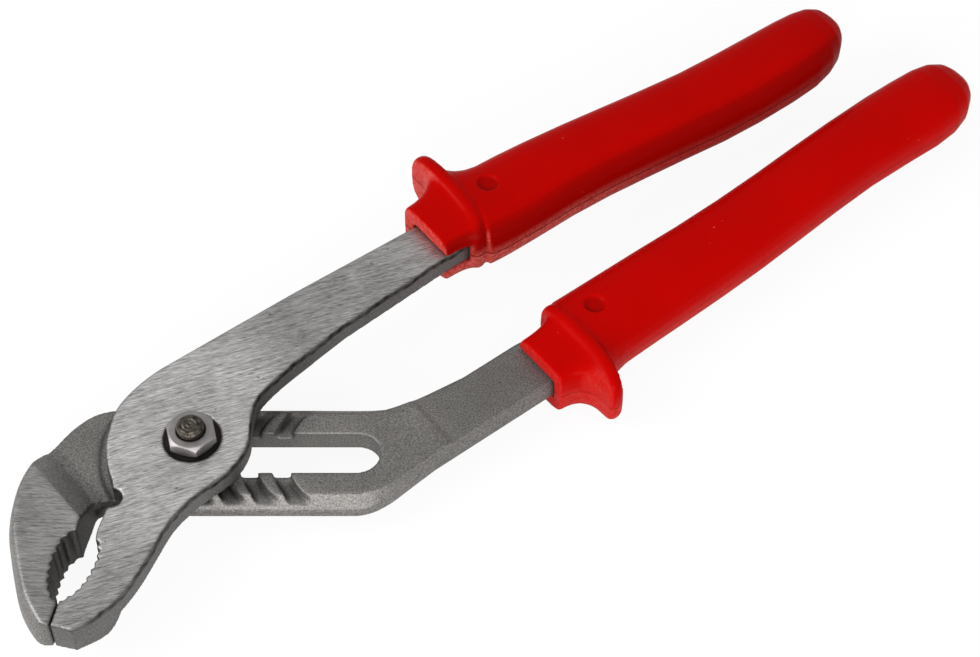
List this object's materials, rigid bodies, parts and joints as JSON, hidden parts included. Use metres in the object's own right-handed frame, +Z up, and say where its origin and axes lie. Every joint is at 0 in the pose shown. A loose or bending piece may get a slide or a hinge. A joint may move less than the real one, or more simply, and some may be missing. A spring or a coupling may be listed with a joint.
{
  "type": "water pump pliers",
  "caption": "Adjustable pliers with bent toothed jaws, a bolt that moves along a grooved slot, and two long handles in smooth moulded grips with finger guards.",
  "frame": {"origin": "centre of the bolt head's underside, on the plane that the tool lies on", "axes": "+Z up the bolt to its nut, +X along the slot from the jaws towards the handles"},
  "size_m": [0.2205, 0.1778, 0.0231],
  "materials": {
    "forged_steel": "drop-forged and blasted, dull grey, with bright worn edges",
    "ground_steel": "forged and ground flat, with fine grinding marks",
    "bolt_steel": "dark steel with a rough peened end",
    "plated_steel": "bright zinc plating",
    "red_vinyl": "glossy moulded vinyl"
  },
  "bodies": {
    "slotted_side": {"slotted_half": "forged_steel", "lower_grip": "red_vinyl"},
    "pivot": {"pivot_bolt": "bolt_steel", "pivot_nut": "plated_steel"},
    "tongue_side": {"tongue_half": "ground_steel", "upper_grip": "red_vinyl"}
  },
  "joints": [
    {"name": "pivot_slide", "type": "slide", "parent": "slotted_side", "child": "pivot", "axis": [1, 0, 0], "range_m": [0, 0.014]},
    {"name": "jaw_hinge", "type": "hinge", "parent": "pivot", "child": "tongue_side", "pos_m": [0, 0, 0.0147], "axis": [0, 0, 1], "range_deg": [0, 45]}
  ]
}
